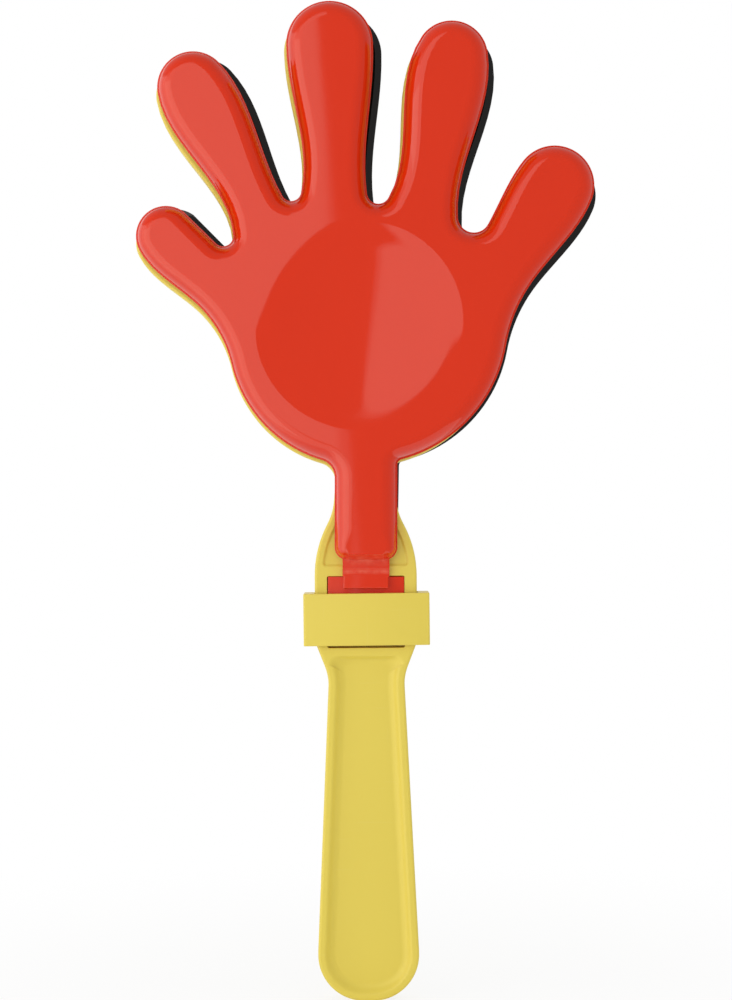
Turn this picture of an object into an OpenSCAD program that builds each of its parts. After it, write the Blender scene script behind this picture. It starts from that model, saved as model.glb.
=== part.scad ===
// Hand clapper: a handle moulded with a middle hand, and a loose hand hinged on each side of it.
// Millimetres. +Z runs up the handle to the fingertips, +X is to the right of someone who faces
// the front hand, and +Y points from the front hand to the rear hand. The origin is the centre
// of the grip.

/* [Palm and stem] */
// Radius of the palm
palm_r = 39.1; // [36:0.1:43]
// Straight length of the middle hand's stem, between the shoulder's hollow and the palm's fillet
stem_l = 4.2; // [1:0.1:12]
// Width of the stem below the palm
stem_w = 17.5; // [15:0.1:20]
// Radius of the fillet between the stem and the palm
stem_fillet_r = 5; // [4:0.1:8]
// Radius of the hollow between the palm and the thumb
thumb_hollow_r = 43; // [34:0.5:52]
// Lean of the thumb's hollow from upright, positive to the right
thumb_hollow_lean = 99.5; // [96:0.5:103]
// Radius of the hollow between the palm and the little finger
little_hollow_r = 32.5; // [26:0.5:40]
// Lean of the little finger's hollow from upright
little_hollow_lean = -104; // [-108:0.5:-100]

/* [Fingertips] */
// Lean of the thumb from upright, positive to the right
thumb_lean = 53.5; // [51:0.1:56]
// Distance from the palm's centre to the centre of the thumb's tip
thumb_reach = 65.3; // [60:0.1:72]
// Radius of the thumb's tip
thumb_r = 11.4; // [10:0.1:12.5]
// Lean of the index finger
index_lean = 17.8; // [15:0.1:20]
// Distance from the palm's centre to the centre of the index fingertip
index_reach = 77.4; // [70:0.1:85]
// Radius of the index fingertip
index_r = 11.1; // [10:0.1:12.5]
// Lean of the middle finger
middle_lean = -7.3; // [-9:0.1:-6]
// Distance from the palm's centre to the centre of the middle fingertip
middle_reach = 79; // [72:0.1:86]
// Radius of the middle fingertip
middle_r = 12.2; // [11:0.1:13.5]
// Lean of the ring finger
ring_lean = -35.8; // [-38:0.1:-34]
// Distance from the palm's centre to the centre of the ring fingertip
ring_reach = 81; // [74:0.1:88]
// Radius of the ring fingertip
ring_r = 10.9; // [10:0.1:12]
// Lean of the little finger
little_lean = -65.6; // [-68:0.1:-63]
// Distance from the palm's centre to the centre of the little fingertip
little_reach = 61; // [56:0.1:66]
// Radius of the little fingertip
little_r = 8.5; // [7.5:0.1:9.5]

/* [Webs between the fingers] */
// Lean of the web between the thumb and the index finger
thumb_web_lean = 43.3; // [42:0.1:45]
// Distance from the palm's centre to the centre of that web's round
thumb_web_reach = 43.9; // [42:0.1:46]
// Radius of that web
thumb_web_r = 5.2; // [4:0.1:6]
// Lean of the web between the index and middle fingers
index_web_lean = 5.9; // [5:0.1:7]
// Distance from the palm's centre to the centre of that web's round
index_web_reach = 39.7; // [37:0.1:42]
// Radius of that web
index_web_r = 4.7; // [4:0.1:5.5]
// Lean of the web between the middle and ring fingers
middle_web_lean = -27.7; // [-28.5:0.1:-26.5]
// Distance from the palm's centre to the centre of that web's round
middle_web_reach = 43.8; // [41:0.1:46]
// Radius of that web
middle_web_r = 3.8; // [3:0.1:4.8]
// Lean of the web between the ring and little fingers
ring_web_lean = -56; // [-57:0.1:-55]
// Distance from the palm's centre to the centre of that web's round
ring_web_reach = 48.4; // [46:0.1:51]
// Radius of that web
ring_web_r = 4.2; // [3.5:0.1:5.2]

/* [Shell of a loose hand] */
// Depth of the shell from its open back to its flat front
shell_d = 6.2; // [5:0.1:7]
// Thickness of the shell's wall
shell_wall = 1.5; // [1.2:0.1:1.8]
// Width of the thin lip round the open back
lip_w = 0.35; // [0.2:0.05:0.6]
// Distance from the palm's edge to the round dish in it
dish_rim = 10.1; // [9.8:0.1:15]
// Depth of the dish at its centre
dish_d = 1.6; // [1:0.1:2]
// Offset of the dish from the palm's centre, positive to the right
dish_shift = -1.9; // [-3:0.1:3]
// Height of the stem's lower end above the hinge line
stem_end_rise = 3.2; // [2.5:0.1:4.5]
// Radius of the stem's lower corners
stem_corner_r = 3.5; // [3.3:0.1:5]
// Depth of the slope at the stem's lower end, seen from the front
stem_end_slope = 1.7; // [1:0.1:1.7]

/* [Handle] */
// Thickness of the handle and of the middle hand
handle_t = 9; // [8:0.1:11]
// Length of the grip from its butt to the pocket for the hinge tab
grip_l = 99.2; // [90:0.2:110]
// Width of the grip at its butt
butt_w = 28.5; // [24:0.1:29]
// Radius of the butt's corners
butt_r = 13; // [8:0.5:14]
// Width of the grip at its waist
waist_w = 21.5; // [19:0.1:23]
// Distance from the waist up to the pocket for the hinge tab
waist_drop = 10.4; // [8:0.1:13]
// Radius of the hollow at the waist
waist_r = 14; // [11:0.5:18]
// Radius of the shoulder's lower corners
shoulder_corner_r = 2; // [1.5:0.1:3]
// Radius of the shoulder's upper rounds
shoulder_top_r = 31; // [26:0.5:36]
// Radius of the hollow from the shoulder into the stem
neck_hollow_r = 17; // [13:0.5:22]
// How much lower the middle hand sits than the loose hands
middle_drop = 1.2; // [0:0.1:3]

/* [Recesses in the handle] */
// Width of the rim round the middle hand
rim_w = 2.8; // [2:0.1:3.4]
// Thickness of the web that closes the middle hand
web_t = 2.4; // [1.6:0.1:3]
// Width of the rim round the grip panel
grip_rim_w = 3.6; // [2.8:0.1:4.4]
// Depth of the grip panel below the rim
grip_panel_d = 1.7; // [1:0.1:2.2]
// Thickness of the wall on each side of the pocket for a hinge tab
pocket_wall = 3.55; // [2.5:0.05:5]
// Thickness of the web between the front and rear pockets
pocket_web_t = 3; // [1.6:0.1:4]
// Thickness of the wall between the pocket and the grip panel
sill_t = 2.8; // [1.8:0.1:3.4]
// Thickness of the wall between the pocket and the middle hand
bridge_t = 2.7; // [2:0.1:3.6]

/* [Hinge tab and living hinge] */
// Width of the tab's plate
tab_w = 21.1; // [19:0.1:24]
// Width of the neck that carries the living hinge
neck_w = 13.1; // [11:0.1:15]
// Thickness of the neck, and height of the lip that it grows out of
neck_t = 1.3; // [1:0.1:1.6]
// How far the neck laps over the plate of the tab
neck_lap = 3.2; // [2:0.1:5]
// Gap between the clamp band and the neck above it
neck_gap = 0.7; // [0.3:0.1:2]
// Height of the hinge line above the top of the pocket
hinge_rise = 1.4; // [1.2:0.1:2]
// Thickness of the living hinge
hinge_t = 0.5; // [0.3:0.05:0.7]
// Length of the living hinge along the neck
hinge_l = 2; // [1.6:0.1:2.2]
// Clearance between the tab and the pocket's top and sides
tab_clear = 0.3; // [0.25:0.05:0.4]
// Clearance in front of and behind the tab
tab_seat_clear = 0.1; // [0.05:0.05:0.2]
// Gap below the tab
tab_gap = 0.7; // [0.4:0.1:1.2]
// Gap between the back of a closed loose hand and the middle hand
closed_gap = 0.3; // [0.3:0.05:0.6]
// Opening of each loose hand at rest, in degrees
rest_open = 0.8; // [0:0.1:3]
// Skew of the front hand in its pocket, in degrees, positive to the right
front_skew = 0.45; // [-1:0.05:1]
// Skew of the rear hand in its pocket, in degrees, positive to the right
rear_skew = 1.35; // [-1.4:0.05:1.4]

/* [Clamp band] */
// Height of the band along the handle
band_h = 15.4; // [10:0.1:22]
// Distance from the bottom of the pocket up to the band
band_rise = 0.5; // [0:0.1:2]
// Wall of the band at its narrow ends
band_end_wall = 3.3; // [2:0.1:4]
// Wall of the band across its front and back
band_face_wall = 1.8; // [1.2:0.1:2]
// Clearance between the band and the handle
band_clear = 0.2; // [0.1:0.05:0.4]
// Radius of the band's outer corners
band_corner_r = 0.6; // [0.3:0.1:1]

/* [Hidden] */

front_red = [0.83, 0.2, 0.12];
handle_yellow = [0.88, 0.8, 0.36];
rear_black = [0.12, 0.115, 0.12];

// Most that a chord may cut inside its arc
chord_tol = 0.12;
// How far a cut starts outside the face that it opens, and the least flat between two rounds
over = 0.5;
// Steps in the rounded edge of a loose hand, outside and inside
outer_steps = 5;
inner_steps = 2;
// Steps from the centre of the dish to its edge
dish_steps = 6;
// Sides that stand for a full round
round_sides = 72;
// Turn, in degrees, that is too small to draw as an arc, and run that is too short to draw
least_turn = 0.01;
least_run = 0.02;
// Length over which the stem's end slope widens to the full rounded edge
slope_blend = 5;
slope_stations = 4;

// The pocket fits the tab, and the shoulder carries the pocket and the band
pocket_w = tab_w + 2 * tab_clear;
pocket_h = band_rise + band_h + neck_gap + neck_lap + tab_clear;
shoulder_w = pocket_w + 2 * pocket_wall;

// Heights of the handle's features, from the centre of the grip
butt_z = -grip_l / 2;
pocket_z = grip_l / 2;
pocket_top_z = pocket_z + pocket_h;
panel_top_z = pocket_z - sill_t;
bridge_top_z = pocket_top_z + bridge_t;
hinge_z = pocket_top_z + hinge_rise;
pocket_mid_z = pocket_z + pocket_h / 2;
waist_z = pocket_z - waist_drop;
shoulder_low_z = pocket_z + shoulder_corner_r;
shoulder_top_z = pocket_top_z;

// Depths of a loose hand's features, from the middle of the handle towards that hand
face_y = handle_t / 2;
pocket_floor_y = pocket_web_t / 2;
hand_back_y = face_y + closed_gap;
hinge_y = hand_back_y + neck_t / 2;

// The rounded edge of a loose hand
edge_r = shell_d - neck_t;
// Share of that edge's width that the stem's lower end takes
stem_end_share = stem_end_slope / (lip_w + edge_r);

// A point beside the hinge line, in depth and height, turned with the opening at rest
function opened(y, z) = [
    y * cos(rest_open) - z * sin(rest_open),
    y * sin(rest_open) + z * cos(rest_open)
];

// A circle of an outline is [x, z, r]. A positive r bulges outwards and a negative r is a hollow.
function polar(lean, reach, r) = [reach * sin(lean), reach * cos(lean), r];
function raised(circles, z) = [for (c = circles) [c[0], c[1] + z, c[2]]];
function mirrored(c) = [-c[0], c[1], c[2]];

// Outward normal of the straight run from circle a to circle b, with the solid on its left
function run_normal(a, b) =
    let (
        d = [b[0] - a[0], b[1] - a[1]],
        u = d / norm(d),
        c = max(-1, min(1, (a[2] - b[2]) / norm(d))),
        s = sqrt(1 - c * c)
    )
    [c * u[0] + s * u[1], c * u[1] - s * u[0]];
function run_angle(a, b) = let (n = run_normal(a, b)) atan2(n[1], n[0]);

// Turn of the normal round a circle, from angle a0 to angle a1: left on a bulge, right in a hollow
function turn(a0, a1, r) =
    let (
        left = ((a1 - a0) % 360 + 360) % 360,
        still = left < least_turn || left > 360 - least_turn
    )
    still ? 0 : r > 0 ? left : left - 360;

// Points [x, z, normal x, normal z] round a circle
function arc(c, a0, a1) =
    let (
        whole = turn(a0, a1, c[2]),
        step = 2 * acos(1 - chord_tol / max(abs(c[2]), 1)),
        count = ceil(abs(whole) / step)
    )
    [
        for (i = [0 : count])
            let (a = a0 + (count == 0 ? 0 : whole * i / count))
            [c[0] + c[2] * cos(a), c[1] + c[2] * sin(a), cos(a), sin(a)]
    ];

// Points without those that repeat the point before them, as where two circles touch
function distinct(points) =
    let (count = len(points))
    [
        for (i = [0 : count - 1])
            let (p = points[i], q = points[(i + count - 1) % count])
            if (norm([p[0] - q[0], p[1] - q[1]]) > least_run) p
    ];

// Outline that runs anticlockwise round a chain of circles, from one normal angle to another
function belt(circles, first_angle, last_angle) =
    let (last = len(circles) - 1)
    distinct([
        for (i = [0 : last])
            let (
                a0 = i == 0 ? first_angle : run_angle(circles[i - 1], circles[i]),
                a1 = i == last ? last_angle : run_angle(circles[i], circles[i + 1])
            )
            each arc(circles[i], a0, a1)
    ]);

function inset(outline, e) = [for (p = outline) [p[0] - e * p[2], p[1] - e * p[3]]];

// The hand's circles about the palm's centre, from the stem's right side round to its left side
stem_fillet_x = stem_w / 2 + stem_fillet_r;
stem_fillet_drop = sqrt(pow(palm_r + stem_fillet_r, 2) - pow(stem_fillet_x, 2));
stem_fillet = [stem_fillet_x, -stem_fillet_drop, -stem_fillet_r];
palm = [0, 0, palm_r];
hand_circles = [
    stem_fillet,
    palm,
    polar(thumb_hollow_lean, palm_r + thumb_hollow_r, -thumb_hollow_r),
    polar(thumb_lean, thumb_reach, thumb_r),
    polar(thumb_web_lean, thumb_web_reach, -thumb_web_r),
    polar(index_lean, index_reach, index_r),
    polar(index_web_lean, index_web_reach, -index_web_r),
    polar(middle_lean, middle_reach, middle_r),
    polar(middle_web_lean, middle_web_reach, -middle_web_r),
    polar(ring_lean, ring_reach, ring_r),
    polar(ring_web_lean, ring_web_reach, -ring_web_r),
    polar(little_lean, little_reach, little_r),
    polar(little_hollow_lean, palm_r + little_hollow_r, -little_hollow_r),
    palm,
    mirrored(stem_fillet),
];

// The handle's circles on its right side, from the butt up to the stem
butt_round = min(butt_r, butt_w / 2 - over);
butt = [butt_w / 2 - butt_round, butt_z + butt_round, butt_round];
waist = [waist_w / 2 + waist_r, waist_z, -waist_r];
shoulder_low = [shoulder_w / 2 - shoulder_corner_r, shoulder_low_z, shoulder_corner_r];
shoulder_top = [shoulder_w / 2 - shoulder_top_r, shoulder_top_z, shoulder_top_r];
// The hollow above the shoulder is tangent to the stem and to the shoulder's upper round
neck_hollow_x = stem_w / 2 + neck_hollow_r;
neck_hollow_z = shoulder_top_z
    + sqrt(pow(shoulder_top_r + neck_hollow_r, 2) - pow(neck_hollow_x - shoulder_top[0], 2));
neck_hollow = [neck_hollow_x, neck_hollow_z, -neck_hollow_r];

// Heights of the middle palm's centre, and of a loose palm's centre above its hinge line
palm_z = neck_hollow_z + stem_l + stem_fillet_drop;
palm_rise = palm_z + middle_drop - hinge_z;

upper_circles = concat(
    [shoulder_top, neck_hollow],
    raised(hand_circles, palm_z),
    [mirrored(neck_hollow), mirrored(shoulder_top)]
);
lower_circles = [
    mirrored(shoulder_low),
    mirrored(waist),
    mirrored(butt),
    butt,
    waist,
    shoulder_low,
];
handle_outline = concat(
    belt(upper_circles, 0, 180),
    belt(lower_circles, 180, 360)
);
// Angle at which the rim's inner edge leaves the bridge wall
rim_angle = asin((bridge_top_z - shoulder_top_z) / (shoulder_top_r - rim_w));
hand_recess = inset(belt(upper_circles, rim_angle, 180 - rim_angle), rim_w);
grip_recess = inset(
    belt(
        lower_circles,
        run_angle(mirrored(shoulder_low), mirrored(waist)),
        run_angle(waist, shoulder_low)
    ),
    grip_rim_w
);

// Outline of a loose hand about its hinge line. Two points make its foot, which is the stem's
// lower end, or the end of the neck where the lip reaches down to the hinge.
stem_corner = [stem_w / 2 - stem_corner_r, stem_end_rise + stem_corner_r, stem_corner_r];
neck_angle = acos(max(0, min(1, (neck_w / 2 - stem_corner[0]) / stem_corner_r)));
slope_rises = [for (i = [1 : slope_stations]) stem_corner[1] + slope_blend * i / slope_stations];
hand_run = belt(raised(hand_circles, palm_rise), 0, 180);
left_run = concat(
    [for (i = [slope_stations - 1 : -1 : 0]) [-stem_w / 2, slope_rises[i], -1, 0]],
    arc(mirrored(stem_corner), 180, 180 + neck_angle)
);
right_run = concat(
    arc(stem_corner, 360 - neck_angle, 360),
    [for (z = slope_rises) [stem_w / 2, z, 1, 0]]
);
function loose_outline(foot_x, foot_z) = concat(
    hand_run,
    left_run,
    [for (x = [-foot_x, foot_x]) [x, foot_z, 0, -1]],
    right_run
);
stem_outline = loose_outline(stem_corner[0], stem_end_rise);
neck_outline = loose_outline(neck_w / 2, hinge_l / 2);

// Share of the full edge width at a height above the hinge line
function edge_share(z) =
    let (t = max(0, min(1, (z - stem_corner[1]) / slope_blend)))
    stem_end_share + (1 - stem_end_share) * t * t * (3 - 2 * t);

// A ring of a loose hand: its outline drawn in by a part of the edge and a plain thickness
function loose_ring(outline, edge, plain, depth) = [
    for (p = outline)
        let (e = edge * edge_share(p[1]) + plain)
        [p[0] - e * p[2], -depth, p[1] - e * p[3]]
];
// From the flat front over the rounded edge and the lip to the back, and up inside
loose_rings = concat(
    [
        for (i = [outer_steps : -1 : 0])
            let (a = 90 * i / outer_steps)
            loose_ring(stem_outline, lip_w + edge_r * (1 - cos(a)), 0, neck_t + edge_r * sin(a))
    ],
    [
        loose_ring(neck_outline, 0, 0, neck_t),
        loose_ring(neck_outline, 0, 0, 0),
        loose_ring(stem_outline, lip_w, shell_wall, 0),
    ],
    [
        for (i = [0 : inner_steps])
            let (a = 90 * i / inner_steps, r = edge_r - shell_wall)
            loose_ring(stem_outline, lip_w + r * (1 - cos(a)), shell_wall, neck_t + r * sin(a))
    ]
);

// Depth of the dish at a distance from its centre, a part of a sphere
dish_r = palm_r - dish_rim;
dish_sphere_r = (pow(dish_r, 2) + pow(dish_d, 2)) / (2 * dish_d);
function dish_depth(x) = sqrt(pow(dish_sphere_r, 2) - pow(x, 2)) - (dish_sphere_r - dish_d);

// Closed band through rings of equal count, whose last ring meets the first again
module ring_band(rings) {
    n = len(rings[0]);
    count = len(rings) * n;
    faces = [
        for (i = [0 : len(rings) - 1], j = [0 : n - 1])
            let (a = i * n + j, b = i * n + (j + 1) % n)
            each [[a, b, (b + n) % count], [a, (b + n) % count, (a + n) % count]]
    ];
    polyhedron(points = [for (ring = rings) each ring], faces = faces);
}

// Flat outline in x and z, as a plate between two depths
module plate(points, y0, y1) {
    translate([0, y1, 0])
        rotate([90, 0, 0])
            linear_extrude(y1 - y0)
                polygon(points);
}

// Block centred on x, between two depths and two heights
module block(w, y0, y1, z0, z1) {
    translate([-w / 2, y0, z0])
        cube([w, y1 - y0, z1 - z0]);
}

// Child shapes on both faces of the handle
module both_faces() {
    children();
    mirror([0, 1, 0])
        children();
}

// A piece drawn at its own hinge line goes to its place, turned with its tab in the pocket
module hinged(skew) {
    translate([0, 0, pocket_mid_z])
        rotate([0, skew, 0])
            translate([0, -hinge_y, hinge_z - pocket_mid_z])
                children();
}

// A loose hand about its hinge line, front towards -Y: a rounded edge round a flat with a dish
module loose_hand() {
    inner_flat = shell_d - shell_wall;
    flat_outline = [for (p = loose_rings[0]) [p[0], p[2]]];
    rotate([rest_open, 0, 0])
        translate([0, hinge_y - hand_back_y, 0]) {
            ring_band(loose_rings);
            difference() {
                union() {
                    plate(flat_outline, -shell_d, -inner_flat);
                    dish_turned(inner_flat);
                }
                dish_turned(shell_d);
            }
        }
}

// Lens between the dish below a flat at this depth and a plane just outside that flat
module dish_turned(flat) {
    translate([dish_shift, 0, palm_rise])
        rotate([90, 0, 0])
            rotate_extrude($fn = round_sides)
                polygon(concat(
                    [
                        for (i = [0 : dish_steps])
                            let (x = dish_r * i / dish_steps)
                            [x, flat - dish_depth(x)]
                    ],
                    [[dish_r, flat + over], [0, flat + over]]
                ));
}

// The thin strip between the neck's two halves, about the hinge line. Its upper end is turned
// with the loose hand's opening at rest, so that it meets the neck face to face.
module living_hinge() {
    upper = [for (y = [hinge_t / 2, -hinge_t / 2]) opened(y, hinge_l / 2)];
    rotate([90, 0, 90])
        linear_extrude(neck_w, center = true)
            polygon(concat([[-hinge_t / 2, -hinge_l / 2], [hinge_t / 2, -hinge_l / 2]], upper));
}

// The tab in the pocket, about the hinge line
module hinge_tab() {
    plate_top = -hinge_rise - tab_clear;
    plate_bottom = -hinge_rise - pocket_h + tab_gap;
    plate_back = hinge_y - pocket_floor_y - tab_seat_clear;
    plate_front = hinge_y - face_y + tab_seat_clear;
    block(tab_w, plate_front, plate_back, plate_bottom, plate_top);
    block(neck_w, -neck_t / 2, neck_t / 2, plate_top - neck_lap, -hinge_l / 2);
    block(neck_w, -neck_t / 2, plate_back, plate_top - neck_lap, plate_top);
}

module middle_hand_handle() {
    color(handle_yellow)
        difference() {
            plate(inset(handle_outline, 0), -face_y, face_y);
            both_faces()
                plate(hand_recess, -face_y - over, -web_t / 2);
            both_faces()
                intersection() {
                    plate(grip_recess, -face_y - over, grip_panel_d - face_y);
                    block(butt_w, -face_y - over, 0, butt_z, panel_top_z);
                }
            both_faces()
                block(pocket_w, -face_y - over, -pocket_floor_y, pocket_z, pocket_top_z);
        }
}

module clamp_band() {
    inner_w = shoulder_w + 2 * band_clear;
    inner_t = handle_t + 2 * band_clear;
    outer_w = inner_w + 2 * band_end_wall;
    outer_t = inner_t + 2 * band_face_wall;
    color(handle_yellow)
        translate([0, 0, pocket_z + band_rise])
            linear_extrude(band_h)
                difference() {
                    union() {
                        square([outer_w - 2 * band_corner_r, outer_t], center = true);
                        square([outer_w, outer_t - 2 * band_corner_r], center = true);
                        for (x = [-1, 1], y = [-1, 1])
                            translate([
                                x * (outer_w / 2 - band_corner_r),
                                y * (outer_t / 2 - band_corner_r)
                            ])
                                circle(band_corner_r, $fn = round_sides);
                    }
                    square([inner_w, inner_t], center = true);
                }
}

module front_hand() {
    color(front_red)
        hinged(front_skew)
            loose_hand();
}

module front_living_hinge() {
    color(front_red)
        hinged(front_skew)
            living_hinge();
}

module front_hinge_tab() {
    color(front_red)
        hinged(front_skew)
            hinge_tab();
}

module rear_hand() {
    color(rear_black)
        mirror([0, 1, 0])
            hinged(rear_skew)
                loose_hand();
}

module rear_living_hinge() {
    color(rear_black)
        mirror([0, 1, 0])
            hinged(rear_skew)
                living_hinge();
}

module rear_hinge_tab() {
    color(rear_black)
        mirror([0, 1, 0])
            hinged(rear_skew)
                hinge_tab();
}

middle_hand_handle();
clamp_band();
front_hand();
front_living_hinge();
front_hinge_tab();
rear_hand();
rear_living_hinge();
rear_hinge_tab();
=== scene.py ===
"""Looks of a toy hand clapper: glossy red and black loose hands on a satin yellow handle.

Sizes are millimetres and degrees, as in the part's source, and each mesh goes to metres last.
+Z runs up the handle, +X is to the right of someone who faces the red hand, +Y is away from them.
"""

import math

import bmesh
import bpy
import numpy as np
from mathutils import Matrix, Vector
from mathutils.geometry import delaunay_2d_cdt


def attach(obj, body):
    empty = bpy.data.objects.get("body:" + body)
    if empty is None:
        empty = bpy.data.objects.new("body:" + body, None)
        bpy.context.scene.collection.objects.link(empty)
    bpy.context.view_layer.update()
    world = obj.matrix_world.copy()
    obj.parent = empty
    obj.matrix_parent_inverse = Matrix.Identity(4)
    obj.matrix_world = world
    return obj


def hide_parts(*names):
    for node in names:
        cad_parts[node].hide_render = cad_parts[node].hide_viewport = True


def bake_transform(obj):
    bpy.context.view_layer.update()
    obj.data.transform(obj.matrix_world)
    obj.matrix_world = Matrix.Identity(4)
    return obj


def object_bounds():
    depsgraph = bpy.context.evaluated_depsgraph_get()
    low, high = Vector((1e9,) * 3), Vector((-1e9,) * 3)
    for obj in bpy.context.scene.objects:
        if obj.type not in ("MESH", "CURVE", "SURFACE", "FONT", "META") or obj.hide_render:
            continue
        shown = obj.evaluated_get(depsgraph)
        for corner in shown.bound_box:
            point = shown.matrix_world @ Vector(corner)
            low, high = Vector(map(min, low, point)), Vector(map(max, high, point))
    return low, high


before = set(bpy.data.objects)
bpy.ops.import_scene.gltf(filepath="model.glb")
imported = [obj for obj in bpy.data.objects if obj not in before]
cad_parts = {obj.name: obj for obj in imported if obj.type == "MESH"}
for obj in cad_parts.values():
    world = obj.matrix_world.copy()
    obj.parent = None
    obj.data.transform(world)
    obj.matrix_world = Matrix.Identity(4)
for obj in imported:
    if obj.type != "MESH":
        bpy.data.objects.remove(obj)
cad_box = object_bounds()

MM = 0.001

# Palm, stem and the hollows beside the palm
# Circles (x, z, r) of the palm's two sides about the hand's centre: the heel is fuller on the left
PALM_RIGHT = (0, 1, 39.6)
PALM_LEFT = (-2, -2.5, 36.5)
STEM_L = 3.9
STEM_W = 17.5
STEM_LEFT_FILLET_R, STEM_RIGHT_FILLET_R = 5, 1.5
THUMB_HOLLOW_LEAN, THUMB_HOLLOW_R = 99.5, 43
LITTLE_HOLLOW_LEAN, LITTLE_HOLLOW_R = -103, 33

# Each fingertip and each web: lean from upright, distance from the hand's centre, radius, and the
# degrees of its arc that a finger's curved side takes up before it and after it
THUMB = (53.4, 65.5, 11.1, 15, 10)
THUMB_WEB = (44.7, 42.8, -4.5, 0, 15)
INDEX = (17.7, 78.5, 10.1, 20, 25)
INDEX_WEB = (5.3, 37.3, -3.2, 20, 10)
MIDDLE = (-7.4, 78.9, 12.1, 5, 5)
MIDDLE_WEB = (-29.1, 42.9, -2.8, 18, 5)
RING = (-36, 82, 10, 20, 20)
RING_WEB = (-58, 47, -2.8, 25, 0)
LITTLE = (-65.9, 61.1, 8.4, 10, 20)
HOLLOW_EASE = 5

# Shell of a loose hand
SHELL_D = 6.2
SHELL_WALL = 1.5
LIP_W = 0.35
LIP_ROUND = 0.12
# The shell's edge in section: a squarish ellipse of this width, and its power
EDGE_W = 4.6
EDGE_POWER = 2.3
EDGE_DRAFT = 1.2
# The rim's rear face leans back towards its outer edge
RIM_BEVEL = 0.2
# The dish is a part of a sphere, which eases to a shallower slope towards its rim
DISH_R = 29
DISH_SPHERE_R = 263
DISH_BOWL_R = 21
DISH_EASE = 5
DISH_RIM_SLOPE = 0.041
DISH_SHIFT = -1.9
DISH_ROUND = 0.35
# Slight warp of the dish as it cooled: its slope across, and how that grows up the palm
DISH_TILT = 0.002
DISH_TWIST = 0.0005
# The higher this power, the nearer to the dish's rim the warp dies out
DISH_WARP_POWER = 8
STEM_END_RISE = 3.2
STEM_CORNER_R = 3.5
STEM_END_SLOPE = 1.7
STEM_FOOT_W = 9.3
# Painted highlight: share of the whitening colour, and of its dulling, painted on the stem's end slope
# for the light that facet catches
SLOPE_SHEEN = 0.8
# The edge narrows round the stem's lower corners, to this share of their radius
CORNER_FIT = 0.95
CORNER_BLEND = 6
CORNER_STATIONS = 8

# Handle and the recesses in it
HANDLE_T = 9
GRIP_L = 99.2
BUTT_W, BUTT_R = 28.5, 13
WAIST_W, WAIST_DROP, WAIST_R = 21.5, 10.4, 14
SHOULDER_CORNER_R = 2
SHOULDER_TOP_R = 31
NECK_HOLLOW_R = 17
MIDDLE_DROP = 1.2
MIDDLE_INSET = 0.4
RIM_W = 2.1
WEB_T = 2.4
PANEL_D = 1.7
POCKET_WALL = 3.55
POCKET_WEB_T = 3
POCKET_H = 20.1
SILL_T = 2.8
BRIDGE_T = 2.7

# Hinge tabs, necks and living hinges
TAB_W = 21.4
NECK_W = 13.1
NECK_T = 1.3
NECK_LAP, NECK_LAP_W = 3.2, 12.4
HINGE_RISE = 1.4
HINGE_T = 0.5
HINGE_DIP = 0.07
HINGE_L = 2
TAB_CLEAR = 0.15
TAB_SEAT_CLEAR = 0.1
TAB_GAP = 0.7
CLOSED_GAP = 0.3
REST_OPEN = 0.8
FRONT_SKEW = 0.45
REAR_SKEW = 1.35

# Clamp band
BAND_H = 14.6
BAND_RISE = 0.7
BAND_END_WALL = 3.05
BAND_FACE_WALL = 1.8
BAND_CLEAR = 0.2
BAND_CORNER_R = 0.6
BAND_SKEW = -0.25
BAND_SHIFT = 0.15

# Rounds and drafts of the mouldings
SIDE_DRAFT = 0.1
FACE_ROUND = 0.8
RECESS_ROUND = 0.4
RECESS_DRAFT = 0.6
RECESS_FLOOR_ROUND = 0.4
RECESS_CORNER_R = 1.05
POCKET_CORNER_R = 0.5
POCKET_ROUND = 0.2
BAND_END_ROUND = 0.25
TAB_ROUND = 0.2
# A face of a tab that is larger than this, in square millimetres, is one of its flats
TAB_FLAT_AREA = 1

# Fineness of the meshes
CHORD_TOL = 0.012
RUN_STEPS = 12
EDGE_STEPS = 14
INNER_STEPS = 6
DISH_STEPS = 30
DISH_SIDES = 160
ROUND_STEPS = 4
HINGE_STEPS = 16
HINGE_COLUMNS = 26
TAB_ROUND_STEPS = 3
# Points nearer than this are one point, and normals nearer than this, in radians, are one direction
SAME_POINT = 0.01
SAME_ANGLE = 1e-4
# Least radius that sets how finely an arc is cut
LEAST_CUT_R = 0.2

# Derived sizes and heights
POCKET_W = TAB_W + 2 * TAB_CLEAR
SHOULDER_W = POCKET_W + 2 * POCKET_WALL
BUTT_Z = -GRIP_L / 2
POCKET_Z = GRIP_L / 2
POCKET_TOP_Z = POCKET_Z + POCKET_H
POCKET_MID_Z = POCKET_Z + POCKET_H / 2
BRIDGE_TOP_Z = POCKET_TOP_Z + BRIDGE_T
PANEL_TOP_Z = POCKET_Z - SILL_T
HINGE_Z = POCKET_TOP_Z + HINGE_RISE
FACE_Y = HANDLE_T / 2
POCKET_FLOOR_Y = POCKET_WEB_T / 2
HINGE_Y = FACE_Y + CLOSED_GAP + NECK_T / 2
EDGE_R = SHELL_D - NECK_T


def smooth(t):
    """Ease from 0 to 1."""
    t = max(0.0, min(1.0, t))
    return t * t * (3 - 2 * t)


# Outlines: chains of tangent circles, as points (x, z, normal x, normal z)


def polar(lean, reach, *rest):
    """Circle (x, z, r, ease before, ease after) at a lean and a reach; a negative r is a hollow."""
    return (reach * math.sin(math.radians(lean)), reach * math.cos(math.radians(lean)), *rest)


def raised(circles, z):
    return [(c[0], c[1] + z, *c[2:]) for c in circles]


def mirrored(c):
    return (-c[0], *c[1:])


def shrunk(circles, e):
    """The same chain drawn in by e on its inner side."""
    return [(x, z, r - e, *eases) for x, z, r, *eases in circles]


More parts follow.
